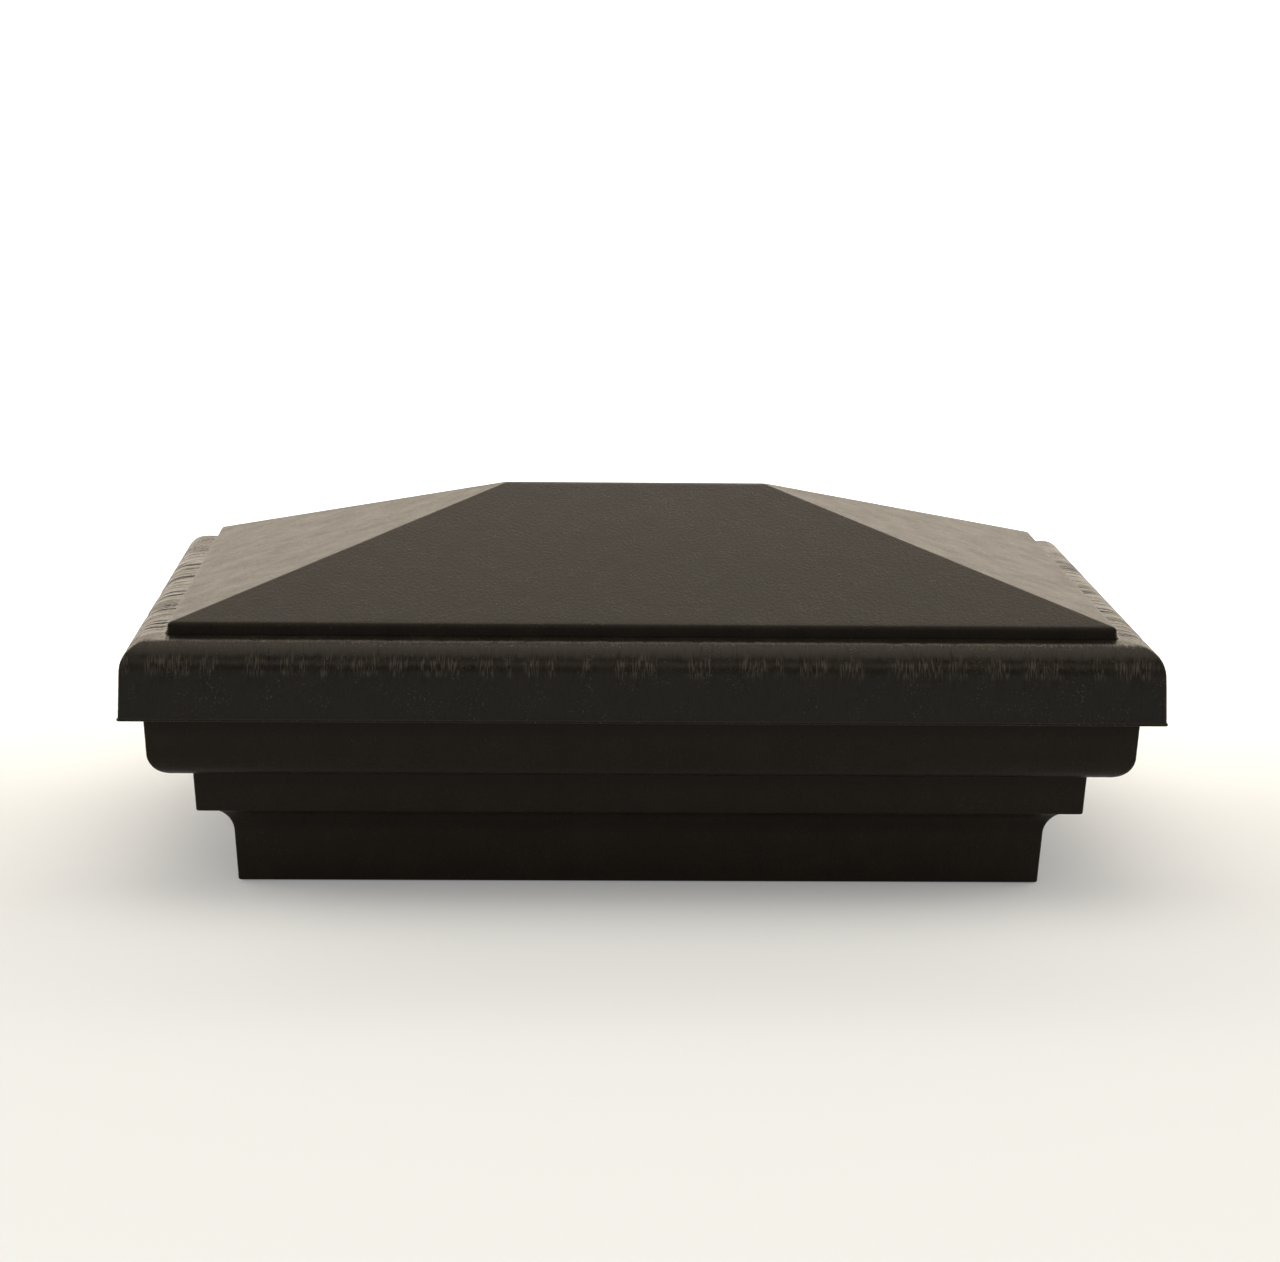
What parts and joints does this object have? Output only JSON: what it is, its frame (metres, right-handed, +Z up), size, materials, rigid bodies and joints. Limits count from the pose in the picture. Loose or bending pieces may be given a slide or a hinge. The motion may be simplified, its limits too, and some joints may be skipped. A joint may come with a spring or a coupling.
{
  "type": "fence post cap",
  "caption": "Hipped cap that sleeves over the end of a rectangular fence post, with a stepped cornice base and a lift-off crown that covers its fixing screws.",
  "frame": {"origin": "centre of the cap's bottom rim, in the plane of the rim", "axes": "+X along the long sides of the cap, which are the wide faces of the post; +Y across to the back; +Z up"},
  "size_m": [0.1944, 0.1436, 0.0704],
  "materials": {
    "base_plastic": "satin moulded, warm near-black",
    "grained_plastic": "satin moulded with fine embossed grain, warm near-black",
    "roof_plastic": "fine matte texture, warm near-black",
    "screw_steel": "plain stainless",
    "seal_rubber": "matte black rubber"
  },
  "bodies": {
    "base": {"base_moulding": "base_plastic", "post_screw_1": "screw_steel", "post_screw_2": "screw_steel", "post_screw_3": "screw_steel", "post_screw_4": "screw_steel", "seal_washer_1": "seal_rubber", "seal_washer_2": "seal_rubber", "seal_washer_3": "seal_rubber", "seal_washer_4": "seal_rubber", "peg_grommet_1": "seal_rubber", "peg_grommet_2": "seal_rubber", "peg_grommet_3": "seal_rubber", "peg_grommet_4": "seal_rubber"},
    "crown": {"crown_frame": "grained_plastic", "roof_panel": "roof_plastic", "roof_screw_1": "screw_steel", "roof_screw_2": "screw_steel", "roof_screw_3": "screw_steel", "roof_screw_4": "screw_steel", "roof_screw_5": "screw_steel", "roof_screw_6": "screw_steel"}
  },
  "joints": [
    {"name": "crown_lift", "type": "slide", "parent": "base", "child": "crown", "axis": [0, 0, 1], "range_m": [0, 0.05]}
  ]
}
